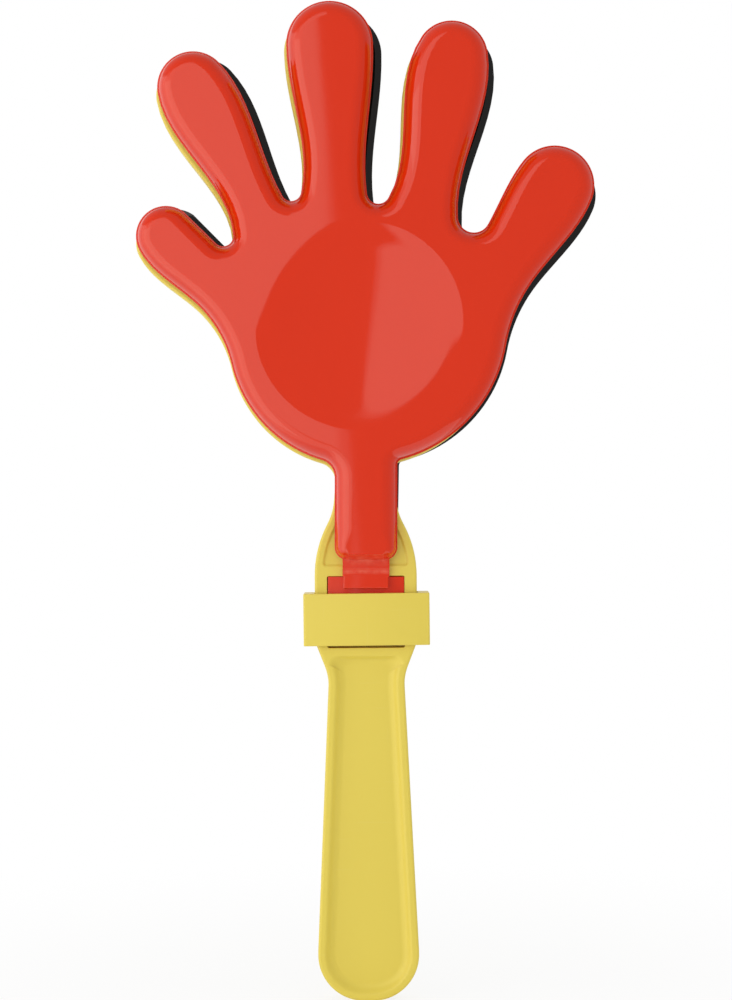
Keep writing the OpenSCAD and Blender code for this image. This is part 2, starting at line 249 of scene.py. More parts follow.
def run_angle(a, b):
    """Direction of the outward normal of the straight run from circle a to circle b."""
    dx, dz = b[0] - a[0], b[1] - a[1]
    length = math.hypot(dx, dz)
    c = max(-1.0, min(1.0, (a[2] - b[2]) / length))
    s = math.sqrt(1 - c * c)
    return math.atan2((c * dz - s * dx) / length, (c * dx + s * dz) / length)


def arc(circle, a0, a1, count=None):
    """Points round a circle between two normals: left on a bulge, right in a hollow."""
    x, z, r = circle[:3]
    whole = (a1 - a0) % math.tau
    if min(whole, math.tau - whole) < SAME_ANGLE:
        whole = 0
    elif r < 0:
        whole -= math.tau
    step = 2 * math.acos(1 - CHORD_TOL / max(abs(r), LEAST_CUT_R))
    count = count or math.ceil(abs(whole) / step)
    angles = [a0 + (whole * i / count if count else 0) for i in range(count + 1)]
    return [(x + r * math.cos(a), z + r * math.sin(a), math.cos(a), math.sin(a)) for a in angles]


def distinct(points):
    """Points without those that repeat the point before them."""
    return [
        p for i, p in enumerate(points)
        if math.hypot(p[0] - points[i - 1][0], p[1] - points[i - 1][1]) > SAME_POINT
    ]


def eased(start, end):
    """Points on a smooth curve between two points of an outline, square to their normals."""
    p0, p3 = Vector(start[:2]), Vector(end[:2])
    reach = (p3 - p0).length / 3
    p1 = p0 + Vector((-start[3], start[2])) * reach
    p2 = p3 - Vector((-end[3], end[2])) * reach
    points = []
    for i in range(1, RUN_STEPS):
        t = i / RUN_STEPS
        u = 1 - t
        place = p0 * u ** 3 + p1 * 3 * u * u * t + p2 * 3 * u * t * t + p3 * t ** 3
        along = (p1 - p0) * u * u + (p2 - p1) * 2 * u * t + (p3 - p2) * t * t
        along.normalize()
        points.append((*place, along.y, -along.x))
    return points


def belt(circles, first=None, last=None):
    """Anticlockwise outline round a chain of circles: closed, or open between two normals."""
    arcs = []
    curved = []
    for i, circle in enumerate(circles):
        before, after = (math.radians(ease) for ease in circle[3:] or (0, 0))
        sense = math.copysign(1, circle[2])
        a0 = run_angle(circles[i - 1], circle) + sense * before
        a1 = run_angle(circle, circles[(i + 1) % len(circles)]) - sense * after
        if first is not None and i == 0:
            a0 = math.radians(first)
        if last is not None and i == len(circles) - 1:
            a1 = math.radians(last)
        arcs.append(arc(circle, a0, a1))
        curved.append(after > 0)
    points = []
    for i, run in enumerate(arcs):
        points += run
        if curved[i]:
            points += eased(run[-1], arcs[(i + 1) % len(arcs)][0])
    return distinct(points)


def box_circles(w, z0, z1, r):
    """Corner circles of an upright rectangle, from its lower right corner round."""
    x = w / 2 - r
    return [(x, z0 + r, r), (x, z1 - r, r), (-x, z1 - r, r), (-x, z0 + r, r)]


def stem_fillet(palm, side, r):
    """Hollow between the palm and the stem, on the right (side 1) or the left (-1)."""
    x = side * (STEM_W / 2 + r)
    drop = math.sqrt((palm[2] + r) ** 2 - (x - palm[0]) ** 2)
    return (x, palm[1] - drop, -r)


def palm_hollow(palm, lean, r, *eases):
    """Hollow that touches the palm at a lean from upright."""
    x, z = polar(lean, palm[2] + r)
    return (palm[0] + x, palm[1] + z, -r, *eases)


LEFT_FILLET = stem_fillet(PALM_LEFT, -1, STEM_LEFT_FILLET_R)


def hand_circles():
    """The hand about its centre, from the stem's right side round to its left side."""
    return [
        stem_fillet(PALM_RIGHT, 1, STEM_RIGHT_FILLET_R),
        PALM_RIGHT,
        palm_hollow(PALM_RIGHT, THUMB_HOLLOW_LEAN, THUMB_HOLLOW_R, 0, HOLLOW_EASE),
        *[polar(*c) for c in (THUMB, THUMB_WEB, INDEX, INDEX_WEB, MIDDLE)],
        *[polar(*c) for c in (MIDDLE_WEB, RING, RING_WEB, LITTLE)],
        palm_hollow(PALM_LEFT, LITTLE_HOLLOW_LEAN, LITTLE_HOLLOW_R, HOLLOW_EASE, 0),
        PALM_LEFT,
        LEFT_FILLET,
    ]


# The handle's circles
SHOULDER_TOP = (SHOULDER_W / 2 - SHOULDER_TOP_R, POCKET_TOP_Z, SHOULDER_TOP_R)
NECK_HOLLOW_X = STEM_W / 2 + NECK_HOLLOW_R
NECK_HOLLOW_Z = POCKET_TOP_Z + math.sqrt(
    (SHOULDER_TOP_R + NECK_HOLLOW_R) ** 2 - (NECK_HOLLOW_X - SHOULDER_TOP[0]) ** 2
)
NECK_HOLLOW = (NECK_HOLLOW_X, NECK_HOLLOW_Z, -NECK_HOLLOW_R)
PALM_Z = NECK_HOLLOW_Z + STEM_L - LEFT_FILLET[1]
PALM_RISE = PALM_Z + MIDDLE_DROP - HINGE_Z
UPPER_CIRCLES = [
    SHOULDER_TOP,
    NECK_HOLLOW,
    *raised(shrunk(hand_circles(), MIDDLE_INSET), PALM_Z),
    mirrored(NECK_HOLLOW),
    mirrored(SHOULDER_TOP),
]
BUTT = (BUTT_W / 2 - BUTT_R, BUTT_Z + BUTT_R, BUTT_R)
WAIST = (WAIST_W / 2 + WAIST_R, POCKET_Z - WAIST_DROP, -WAIST_R)
SHOULDER_LOW = (SHOULDER_W / 2 - SHOULDER_CORNER_R, POCKET_Z + SHOULDER_CORNER_R, SHOULDER_CORNER_R)
LOWER_CIRCLES = [
    mirrored(SHOULDER_LOW),
    mirrored(WAIST),
    mirrored(BUTT),
    BUTT,
    WAIST,
    SHOULDER_LOW,
]


# Meshes


def rounded(points, radius):
    """A path in two dimensions with each inner corner rounded."""
    path = [Vector(points[0])]
    for before, corner, after in zip(points, points[1:], points[2:]):
        corner = Vector(corner)
        back = (Vector(before) - corner)
        ahead = (Vector(after) - corner)
        reach = min(radius, 0.5 * back.length, 0.5 * ahead.length)
        start = corner + back.normalized() * reach
        end = corner + ahead.normalized() * reach
        for i in range(ROUND_STEPS + 1):
            t = i / ROUND_STEPS
            path.append(start * (1 - t) ** 2 + corner * 2 * t * (1 - t) + end * t ** 2)
    path.append(Vector(points[-1]))
    return path


def inset_ring(outline, e, y):
    return [(x - e * nx, y, z - e * nz) for x, z, nx, nz in outline]


def enclosed(point, starts, ends):
    """Whether a point lies inside loops of edges, given as arrays of x and of y."""
    crossed = (starts[1] > point[1]) != (ends[1] > point[1])
    (x0, y0), (x1, y1) = starts[:, crossed], ends[:, crossed]
    meets = x0 + (point[1] - y0) / (y1 - y0) * (x1 - x0)
    return (meets > point[0]).sum() % 2 == 1


# Faces that meet at less than this angle shade into each other
CREASE_COS = math.cos(math.radians(40))


class Skin:
    """A closed mesh built ring by ring. Its flat fills keep their own normal up to their edges."""

    def __init__(self):
        self.bm = bmesh.new()
        # Per-vertex stress: real stress whitening along a crease, and a painted highlight on the
        # stem's end slope
        self.stress_and_sheen = self.bm.verts.layers.float.new("stress_and_sheen")
        self.flats = []

    def ring(self, points):
        return [self.bm.verts.new(p) for p in points]

    def band(self, a, b):
        """Faces between two rings of equal count."""
        for i in range(len(a)):
            self.bm.faces.new((a[i - 1], a[i], b[i], b[i - 1]))

    def bands(self, ring, rings):
        """Faces from a ring through further rings of points; returns the last ring."""
        for points in rings:
            further = self.ring(points)
            self.band(ring, further)
            ring = further
        return ring

    def fill(self, *rings):
        """Flat fill inside the first ring, with the other rings as holes."""
        verts = [v for ring in rings for v in ring]
        places = np.array([v.co for v in verts])
        flat = np.delete(places, np.ptp(places, axis=0).argmin(), axis=1)
        edges = []
        for ring in rings:
            first = verts.index(ring[0])
            edges += [(first + i, first + (i + 1) % len(ring)) for i in range(len(ring))]
        made = delaunay_2d_cdt([Vector(p) for p in flat], edges, [], 0, 1e-7)
        starts, ends = (flat[[e[i] for e in edges]].T for i in (0, 1))
        for corners in made[2]:
            corners = [made[3][i][0] for i in corners]
            if enclosed(flat[corners].mean(axis=0), starts, ends):
                self.flats.append(self.bm.faces.new([verts[i] for i in corners]))

    def fan(self, ring, centre):
        hub = self.bm.verts.new(centre)
        for i in range(len(ring)):
            self.bm.faces.new((ring[i - 1], ring[i], hub))

    def corner_normals(self):
        """Normal at each corner of each face: that of a flat it joins smoothly, or the mean there."""
        flats = set(self.flats)
        normals = []
        for face in self.bm.faces:
            for v in face.verts:
                near = [f for f in v.link_faces if f.normal.dot(face.normal) > CREASE_COS]
                kept = [f for f in near if f in flats][:1]
                if face in flats:
                    kept = [face]
                normals.append(sum((f.normal for f in kept or near), Vector()).normalized())
        return normals

    def piece(self, name, place, material):
        """The finished object, moved to its place in millimetres and then scaled to metres."""
        self.bm.transform(Matrix.Scale(MM, 4) @ place)
        bmesh.ops.recalc_face_normals(self.bm, faces=self.bm.faces)
        self.bm.normal_update()
        normals = self.corner_normals()
        for face in self.bm.faces:
            face.smooth = True
        mesh = bpy.data.meshes.new(name)
        self.bm.to_mesh(mesh)
        self.bm.free()
        mesh.normals_split_custom_set(normals)
        mesh.materials.append(material)
        obj = bpy.data.objects.new(name, mesh)
        bpy.context.scene.collection.objects.link(obj)
        return obj


def hinged(skew, side):
    """Place of a piece drawn about its hinge line, in front (side 1) or mirrored behind (-1)."""
    return (
        Matrix.Diagonal((1, side, 1, 1))
        @ Matrix.Translation((0, 0, POCKET_MID_Z))
        @ Matrix.Rotation(math.radians(skew), 4, "Y")
        @ Matrix.Translation((0, -HINGE_Y, HINGE_Z - POCKET_MID_Z))
    )


def opened():
    """Turn of a loose hand about its hinge line at rest."""
    return Matrix.Rotation(math.radians(REST_OPEN), 4, "X")


# The recess is shallow in the shoulder and sinks to its full depth within this rise above it
SHOULDER_RECESS_SHARE = 0.16
SINK_START, SINK_RISE = 12, 16


def recess_share(z):
    """Share of the recess's full depth at a height."""
    sunk = smooth((z - BRIDGE_TOP_Z - SINK_START) / SINK_RISE)
    return SHOULDER_RECESS_SHARE + (1 - SHOULDER_RECESS_SHARE) * sunk


def make_handle(material):
    """Handle and middle hand in one moulding, alike in front and behind."""
    skin = Skin()
    outline = belt(UPPER_CIRCLES + LOWER_CIRCLES)
    middle = skin.ring(inset_ring(outline, 0, 0))
    side_path = rounded(
        [(0, 0), (SIDE_DRAFT, FACE_Y), (SIDE_DRAFT + 2 * FACE_ROUND, FACE_Y)], FACE_ROUND
    )[1:-1]

    corner_z = BRIDGE_TOP_Z + RECESS_CORNER_R
    corner_reach = SHOULDER_TOP_R - RIM_W - RECESS_CORNER_R
    corner_x = SHOULDER_TOP[0] + math.sqrt(corner_reach ** 2 - (corner_z - POCKET_TOP_Z) ** 2)
    corner = (corner_x, corner_z, RECESS_CORNER_R)
    recess = belt([corner, *shrunk(UPPER_CIRCLES, RIM_W), mirrored(corner)])
    floor_depth = FACE_Y - WEB_T / 2
    recess_path = rounded(
        [
            (-2 * RECESS_ROUND, 0),
            (0, 0),
            (RECESS_DRAFT, floor_depth),
            (RECESS_DRAFT + 2 * RECESS_FLOOR_ROUND, floor_depth),
        ],
        RECESS_FLOOR_ROUND,
    )[1:-1]

    pocket = belt(box_circles(POCKET_W, POCKET_Z, POCKET_TOP_Z, POCKET_CORNER_R))
    pocket_depth = FACE_Y - POCKET_FLOOR_Y
    pocket_path = rounded(
        [(-2 * POCKET_ROUND, 0), (0, 0), (0, pocket_depth), (2 * POCKET_ROUND, pocket_depth)],
        POCKET_ROUND,
    )[1:-1]

    for side in (-1, 1):
        edge = skin.bands(middle, [inset_ring(outline, e, side * y) for e, y in side_path])
        holes = []
        recess_rings = [
            [(x, side * (FACE_Y - depth * recess_share(z)), z) for x, y, z in inset_ring(recess, e, 0)]
            for e, depth in recess_path
        ]
        pocket_rings = [inset_ring(pocket, e, side * (FACE_Y - depth)) for e, depth in pocket_path]
        for rings in (recess_rings, pocket_rings, panel_rings(side)):
            start = skin.ring(rings[0])
            skin.fill(skin.bands(start, rings[1:]))
            holes.append(start)
        skin.fill(edge, *holes)
    return skin.piece("handle_moulding", Matrix.Identity(4), material)


# Grip panel: its soft wall as a curve of inset and depth, from the rim to the panel's floor
PANEL_CORNER_R = 2.4
PANEL_RIM_W = 1.7
PANEL_EASE_W = 1.1
PANEL_WALL = [(0, 0), (PANEL_EASE_W, 0), (1.2, 1), (3.4, 1)]
# Share of the wall's width along the panel's top edge
PANEL_TOP_SHARE = 0.85
PANEL_STEPS = 12
PANEL_ARC_STEPS = 12


def panel_ring(e, y):
    """Ring at an inset from the panel's edge, with its top corners of one radius at any inset."""
    waist, butt = shrunk([WAIST, BUTT], PANEL_RIM_W + e)
    flare = abs(run_angle(WAIST, SHOULDER_LOW))
    corner_z = PANEL_TOP_Z + (PANEL_EASE_W - e) * PANEL_TOP_SHARE - PANEL_CORNER_R
    side_x = SHOULDER_W / 2 - (POCKET_Z - corner_z) * math.tan(flare)
    corner = (side_x - (PANEL_RIM_W + e + PANEL_CORNER_R) / math.cos(flare), corner_z, PANEL_CORNER_R)
    chain = [butt, waist, corner, mirrored(corner), mirrored(waist), mirrored(butt)]
    points = []
    for before, circle, after in zip(chain[-1:] + chain, chain, chain[1:] + chain[:1]):
        points += arc(circle, run_angle(before, circle), run_angle(circle, after), PANEL_ARC_STEPS)
    return [(x, y, z) for x, z, nx, nz in points]


def panel_rings(side):
    """Rings down the panel's soft wall, whose section is a cubic curve."""
    p = [Vector((e, depth * PANEL_D)) for e, depth in PANEL_WALL]
    rings = []
    for i in range(PANEL_STEPS + 1):
        t = i / PANEL_STEPS
        u = 1 - t
        e, depth = p[0] * u ** 3 + p[1] * 3 * u * u * t + p[2] * 3 * u * t * t + p[3] * t ** 3
        rings.append(panel_ring(e, side * (FACE_Y - depth)))
    return rings


def loose_outline(foot_x, foot_z):
    """A loose hand about its hinge line, with a foot of two points below the stem."""
    corner = (STEM_W / 2 - STEM_CORNER_R, STEM_END_RISE + STEM_CORNER_R, STEM_CORNER_R)
    swing = math.acos((NECK_W / 2 - corner[0]) / STEM_CORNER_R)
    rises = [corner[1] + CORNER_BLEND * i / CORNER_STATIONS for i in range(1, CORNER_STATIONS + 1)]
    left = [(-STEM_W / 2, z, -1, 0) for z in reversed(rises)]
    right = [(STEM_W / 2, z, 1, 0) for z in rises]
    return [
        *belt(raised(hand_circles(), PALM_RISE), 0, 180),
        *left,
        *arc(mirrored(corner), math.pi, math.pi + swing),
        (-foot_x, foot_z, 0, -1),
        (foot_x, foot_z, 0, -1),
        *arc(corner, math.tau - swing, math.tau),
        *right,
    ]


def edge_share(z, width):
    """Share of an edge's width at a height: all of it, less round the corners of the stem's end."""
    least = min(1, CORNER_FIT * STEM_CORNER_R / width)
    return least + (1 - least) * smooth((z - STEM_END_RISE - STEM_CORNER_R) / CORNER_BLEND)


def make_loose_hand(name, place, material):
    """Hollow hand shell: flat front with a dish, rounded edge, thin lip, and the upper neck."""
    skin = Skin()
    stem = loose_outline(STEM_FOOT_W / 2, STEM_END_RISE)
    neck = loose_outline(NECK_W / 2, HINGE_L / 2)
    foot = [i for i, point in enumerate(stem) if point[3] == -1]
    back_y = NECK_T / 2
    edge_w = LIP_W + EDGE_W

    def edge_ring(e, h, foot_e):
        """Ring at an inset and height on the rounded edge, with its own inset on the end slope."""
        points = []
        for i, (x, z, nx, nz) in enumerate(stem):
            inset = foot_e if i in foot else e * edge_share(z, edge_w)
            points.append((x - inset * nx, back_y - h, z - inset * nz))
        return points

    def neck_ring(e, h):
        """Ring of the lip, whose foot is the end of the neck and isn't drawn in."""
        points = []
        for x, z, nx, nz in neck:
            inset = 0 if z < STEM_END_RISE else e
            points.append((x - inset * nx, back_y - h, z - inset * nz))
        return points

    outer = []
    for i in range(EDGE_STEPS, -1, -1):
        a = math.pi / 2 * i / EDGE_STEPS
        across, rise = (max(v, 0) ** (2 / EDGE_POWER) for v in (math.cos(a), math.sin(a)))
        e = LIP_W + (EDGE_W - EDGE_DRAFT) * (1 - across) + EDGE_DRAFT * rise
        outer.append(edge_ring(e, NECK_T + EDGE_R * rise, STEM_END_SLOPE * rise))
    lip = rounded([(LIP_W / 2, NECK_T), (0, NECK_T), (0, 0), (LIP_W / 2, 0)], LIP_ROUND)
    inner_r = EDGE_R - SHELL_WALL
    inner = [edge_ring(SHELL_WALL + LIP_W, -RIM_BEVEL, SHELL_WALL)]
    for i in range(INNER_STEPS + 1):
        a = math.pi / 2 * i / INNER_STEPS
        e = SHELL_WALL + LIP_W + (EDGE_W - SHELL_WALL) * (1 - math.cos(a))
        h = NECK_T + inner_r * math.sin(a)
        inner.append(edge_ring(e, h, SHELL_WALL + STEM_END_SLOPE * math.sin(a)))

    plateau = edge = skin.ring(outer[0])
    for points in outer[1:]:
        edge = skin.bands(edge, [points])
        # Painted highlight: the end slope's vertices carry a stress value, so the whitening colour
        # paints that facet lighter
        for i in foot:
            edge[i][skin.stress_and_sheen] = SLOPE_SHEEN
    lip_rings = [neck_ring(e, h) for e, h in lip]
    inner_flat = skin.bands(edge, [*lip_rings, *inner])
    skin.fill(plateau, make_dish(skin, back_y - SHELL_D))
    skin.fill(inner_flat, make_dish(skin, back_y - SHELL_D + SHELL_WALL))
    return skin.piece(name, place @ opened(), material)


def make_dish(skin, flat_y):
    """Round dish in the palm, sunk from a flat; returns its outermost ring."""
    def circle(r, depth):
        points = []
        for i in range(DISH_SIDES):
            a = math.tau * i / DISH_SIDES
            x, z = r * math.cos(a), r * math.sin(a)
            held = min(1, (r / DISH_R) ** DISH_WARP_POWER)
            warp = x * (DISH_TILT + DISH_TWIST * z) * (1 - held)
            points.append((DISH_SHIFT + x, flat_y + depth + warp, PALM_RISE + z))
        return points

    def slope(r):
        eased_out = smooth((r - DISH_BOWL_R) / DISH_EASE)
        return r / DISH_SPHERE_R * (1 - eased_out) + DISH_RIM_SLOPE * eased_out

    outermost = skin.ring(circle(DISH_R + DISH_ROUND, 0))
    depth = DISH_RIM_SLOPE * DISH_ROUND
    rings = [circle(DISH_R, depth / 4)]
    step = (DISH_R - DISH_ROUND) / DISH_STEPS
    for i in range(DISH_STEPS, 0, -1):
        rings.append(circle(i * step, depth))
        depth += slope((i - 0.5) * step) * step
    last = skin.bands(outermost, rings)
    skin.fan(last, (DISH_SHIFT, flat_y + depth, PALM_RISE))
    return outermost


def make_living_hinge(name, place, material):
    """Thin crease between the neck's halves, hollowed behind and nearly flat in front."""
    skin = Skin()
    heights = [HINGE_L * (i / HINGE_STEPS - 0.5) for i in range(HINGE_STEPS + 1)]
    columns = [NECK_W * (i / HINGE_COLUMNS - 0.5) for i in range(HINGE_COLUMNS + 1)]

    def loop(z):
        """Points round the strip at a height, turned a part of the opening at rest."""
        bend = Matrix.Rotation(math.radians(REST_OPEN) * smooth(z / HINGE_L + 0.5), 4, "X")
        hollow = 1 - (2 * z / HINGE_L) ** 2
        front_y = -NECK_T / 2 + HINGE_DIP * hollow
        back_y = NECK_T / 2 - (NECK_T - HINGE_T - HINGE_DIP) * hollow
        front = [(x, front_y, z) for x in columns]
        back = [(x, back_y, z) for x in reversed(columns)]
        return [bend @ Vector(p) for p in front + back]

    first = skin.ring(loop(heights[0]))
    last = skin.bands(first, [loop(z) for z in heights[1:]])
    skin.bm.faces.new(first)
    skin.bm.faces.new(last)
    for v in skin.bm.verts:
        v[skin.stress_and_sheen] = 1 - abs(v.co.z) / (HINGE_L / 2)
    return skin.piece(name, place, material)


def make_hinge_tab(name, place, material):
    """Plate that sits in the pocket, and the lower half of the neck over it."""
    plate_top = -HINGE_RISE - TAB_CLEAR
    plate_bottom = -HINGE_RISE - POCKET_H + TAB_GAP
    plate_back = HINGE_Y - POCKET_FLOOR_Y - TAB_SEAT_CLEAR
    plate_front = HINGE_Y - FACE_Y + TAB_SEAT_CLEAR
    halves = [w / 2 for w in (TAB_W, NECK_W, NECK_LAP_W)]
    xs = [-x for x in halves] + halves[::-1]
    ys = [-NECK_T / 2, NECK_T / 2, plate_front, plate_back]
    zs = [plate_bottom, plate_top - NECK_LAP, plate_top, -HINGE_L / 2]
    columns, layers, rows = (range(len(places) - 1) for places in (xs, ys, zs))

    def solid(i, j, k):
        """Whether the cell in column i, layer j and row k is plastic."""
        if i not in columns or j not in layers or k not in rows:
            return False
        in_plate = j == 2 and k < 2
        in_neck = 0 < i < 4 and j == 0 and k == 2
        in_lap = i == 2 and j < 2 and k == 1
        return in_plate or in_neck or in_lap

    skin = Skin()
    corners = {}

    def corner(i, j, k):
        if (i, j, k) not in corners:
            corners[i, j, k] = skin.bm.verts.new((xs[i], ys[j], zs[k]))
        return corners[i, j, k]

    cells = [(i, j, k) for i in columns for j in layers for k in rows if solid(i, j, k)]
    for cell in cells:
        for axis in range(3):
            for step in (0, 1):
                beside = list(cell)
                beside[axis] += 2 * step - 1
                if solid(*beside):
                    continue
                ring = []
                for u, v in ((0, 0), (1, 0), (1, 1), (0, 1)):
                    at = list(cell)
                    at[axis] += step
                    at[(axis + 1) % 3] += u
                    at[(axis + 2) % 3] += v
                    ring.append(corner(*at))
                skin.bm.faces.new(ring)
    bmesh.ops.recalc_face_normals(skin.bm, faces=skin.bm.faces)
    bmesh.ops.dissolve_limit(
        skin.bm, angle_limit=math.radians(1), verts=skin.bm.verts, edges=skin.bm.edges
    )
    hinge_end = zs[-1] - SAME_POINT
    bmesh.ops.bevel(
        skin.bm,
        geom=[e for e in skin.bm.edges if any(v.co.z < hinge_end for v in e.verts)],
        offset=TAB_ROUND,
        segments=TAB_ROUND_STEPS,
        profile=0.5,
        affect="EDGES",
    )
    skin.flats = [f for f in skin.bm.faces if f.calc_area() > TAB_FLAT_AREA]
    return skin.piece(name, place, material)


def make_clamp_band(material):
    """Rectangular sleeve pushed up over the grip."""
    skin = Skin()
    inner_w = SHOULDER_W + 2 * BAND_CLEAR
    inner_t = HANDLE_T + 2 * BAND_CLEAR
    outer_w = inner_w + 2 * BAND_END_WALL
    outer_t = inner_t + 2 * BAND_FACE_WALL
    outer = belt(box_circles(outer_w, -outer_t / 2, outer_t / 2, BAND_CORNER_R))
    inner = belt(box_circles(inner_w, -inner_t / 2, inner_t / 2, BAND_CORNER_R / 2))
    low, high = POCKET_Z + BAND_RISE, POCKET_Z + BAND_RISE + BAND_H
    wall = 2 * BAND_END_ROUND
    path = rounded([(wall, low), (0, low), (0, high), (wall, high)], BAND_END_ROUND)[1:-1]

    def level(shape, e, z):
        return [(x - e * nx, y - e * ny, z) for x, y, nx, ny in shape]

    outside = [skin.ring(level(outer, e, z)) for e, z in path]
    inside = [skin.ring(level(inner, -e, z)) for e, z in path]
    for rings in (outside, inside):
        for a, b in zip(rings, rings[1:]):
            skin.band(a, b)
    skin.fill(outside[0], inside[0])
    skin.fill(outside[-1], inside[-1])
    middle_z = (low + high) / 2
    crooked = (
        Matrix.Translation((BAND_SHIFT, 0, middle_z))
        @ Matrix.Rotation(math.radians(BAND_SKEW), 4, "Y")
        @ Matrix.Translation((0, 0, -middle_z))
    )
    return skin.piece("clamp_sleeve", crooked, material)


# Materials: colours are linear, and a noise's scale is its cells in a metre

PLASTIC_IOR = 1.49
BUMP_HEIGHT = 0.0001
WAVE_SCALE = 30
PEEL_SCALE = 1100
DRIFT_SCALE = 55
SCUFF_LONG_SCALE, SCUFF_CROSS_SCALE = 1500, 1200
SCUFF_PATCH_SCALE = 60
# Share of a noise's fineness that is left along the axis it is drawn out on
WAVE_DRAW = 0.6
DRIFT_DRAW = 0.35
SCUFF_LONG_DRAW, SCUFF_CROSS_DRAW = 0.04, 0.05
# Values of the scuffs' noise between which a scuff fades in
SCUFF_FROM, SCUFF_TO = 0.66, 0.8
# Stress whitening along a crease, which also paints a highlight on the stem's end slope: its blotches,
# and how much it dulls the gloss
BLOTCH_SCALE = 480
BLOTCH_FROM, BLOTCH_TO, BLOTCH_LEAST = 0.4, 0.7, 0.1
STRESS_DULLING = 0.35
# Places of the colour sockets in a Mix node
MIX_A, MIX_B, MIX_RESULT = 6, 7, 2


def node_of(tree, kind, **values):
    """A node with its named inputs or settings set."""
    made = tree.nodes.new(kind)
    for key, value in values.items():
        if key in made.inputs:
            made.inputs[key].default_value = value
        else:
            setattr(made, key, value)
    return made


def new_group(name, inputs, outputs):
    """Shader node group with named value inputs, as (name, default), and named outputs."""
    group = bpy.data.node_groups.new(name, "ShaderNodeTree")
    for label, default in inputs:
        made = group.interface.new_socket(label, in_out="INPUT", socket_type="NodeSocketFloat")
        made.default_value = default
    for label in outputs:
        group.interface.new_socket(label, in_out="OUTPUT", socket_type="NodeSocketFloat")
    return group, group.nodes.new("NodeGroupInput"), group.nodes.new("NodeGroupOutput")


def stretched_noise(group, place, stretch, scale, detail):
    """Noise over the object's own coordinates, drawn out along some axes."""
    mapping = node_of(group, "ShaderNodeMapping")
    mapping.inputs["Scale"].default_value = stretch
    noise = node_of(group, "ShaderNodeTexNoise", Scale=scale, Detail=detail)
    group.links.new(place.outputs["Object"], mapping.inputs["Vector"])
    group.links.new(mapping.outputs["Vector"], noise.inputs["Vector"])
    return noise.outputs["Fac"]


def moulded_skin():
    """Slow sink waves and fine orange peel of a moulding, and the drift of its pigment."""
    group, given, result = new_group(
        "moulded_skin", [("Waves", 1.0), ("Peel", 0.1)], ["Height", "Drift"]
    )
    place = node_of(group, "ShaderNodeTexCoord")
    waves = stretched_noise(group, place, (1, 1, WAVE_DRAW), WAVE_SCALE, detail=1)
    peel = stretched_noise(group, place, (1, 1, 1), PEEL_SCALE, detail=2)
    drift = stretched_noise(group, place, (1, 1, DRIFT_DRAW), DRIFT_SCALE, detail=3)
    wave_height = node_of(group, "ShaderNodeMath", operation="MULTIPLY")
    both = node_of(group, "ShaderNodeMath", operation="MULTIPLY_ADD")
    group.links.new(waves, wave_height.inputs[0])
    group.links.new(given.outputs["Waves"], wave_height.inputs[1])
    group.links.new(peel, both.inputs[0])
    group.links.new(given.outputs["Peel"], both.inputs[1])
    group.links.new(wave_height.outputs[0], both.inputs[2])
    group.links.new(both.outputs[0], result.inputs["Height"])
    group.links.new(drift, result.inputs["Drift"])
    return group


def fine_scuffs():
    """Short hairline scuffs that handling leaves, as a mask."""
    group, given, result = new_group("fine_scuffs", [("Amount", 0.5)], ["Mask"])
    place = node_of(group, "ShaderNodeTexCoord")
    along = stretched_noise(group, place, (1, 1, SCUFF_LONG_DRAW), SCUFF_LONG_SCALE, detail=2)
    across = stretched_noise(group, place, (SCUFF_CROSS_DRAW, 1, 1), SCUFF_CROSS_SCALE, detail=2)
    patches = stretched_noise(group, place, (1, 1, 1), SCUFF_PATCH_SCALE, detail=2)
    lines = node_of(group, "ShaderNodeMath", operation="MAXIMUM")
    sharp = node_of(group, "ShaderNodeMapRange")
    sharp.inputs["From Min"].default_value = SCUFF_FROM
    sharp.inputs["From Max"].default_value = SCUFF_TO
    spread = node_of(group, "ShaderNodeMath", operation="MULTIPLY")
    amount = node_of(group, "ShaderNodeMath", operation="MULTIPLY")
    group.links.new(along, lines.inputs[0])
    group.links.new(across, lines.inputs[1])
    group.links.new(lines.outputs[0], sharp.inputs["Value"])
    group.links.new(sharp.outputs["Result"], spread.inputs[0])
    group.links.new(patches, spread.inputs[1])
    group.links.new(spread.outputs[0], amount.inputs[0])
    group.links.new(given.outputs["Amount"], amount.inputs[1])
    group.links.new(amount.outputs[0], result.inputs["Mask"])
    return group


SKIN_GROUP = moulded_skin()
SCUFF_GROUP = fine_scuffs()


def mix_colour(tree, factor, a, b):
    """Colour between a and b, each a colour or a socket."""
    mix = tree.nodes.new("ShaderNodeMix")
    mix.data_type = "RGBA"
    tree.links.new(factor, mix.inputs["Factor"])
    for socket, value in ((mix.inputs[MIX_A], a), (mix.inputs[MIX_B], b)):
        if isinstance(value, tuple):
            socket.default_value = (*value, 1)
        else:
            tree.links.new(value, socket)
    return mix.outputs[MIX_RESULT]


def stress_and_sheen_masks(tree):
    """The mesh's own stress attribute, along a crease and as a painted highlight on the stem's end
    slope, and the blotchy whitening it gives.
    """
    stress_and_sheen = node_of(tree, "ShaderNodeAttribute", attribute_name="stress_and_sheen")
    place = node_of(tree, "ShaderNodeTexCoord")
    noise = node_of(tree, "ShaderNodeTexNoise", Scale=BLOTCH_SCALE, Detail=2)
    blotches = node_of(tree, "ShaderNodeMapRange")
    blotches.inputs["From Min"].default_value = BLOTCH_FROM
    blotches.inputs["From Max"].default_value = BLOTCH_TO
    blotches.inputs["To Min"].default_value = BLOTCH_LEAST
    mask = node_of(tree, "ShaderNodeMath", operation="MULTIPLY")
    tree.links.new(place.outputs["Object"], noise.inputs["Vector"])
    tree.links.new(noise.outputs["Fac"], blotches.inputs["Value"])
    tree.links.new(stress_and_sheen.outputs["Fac"], mask.inputs[0])
    tree.links.new(blotches.outputs["Result"], mask.inputs[1])
    return stress_and_sheen.outputs["Fac"], mask.outputs[0]


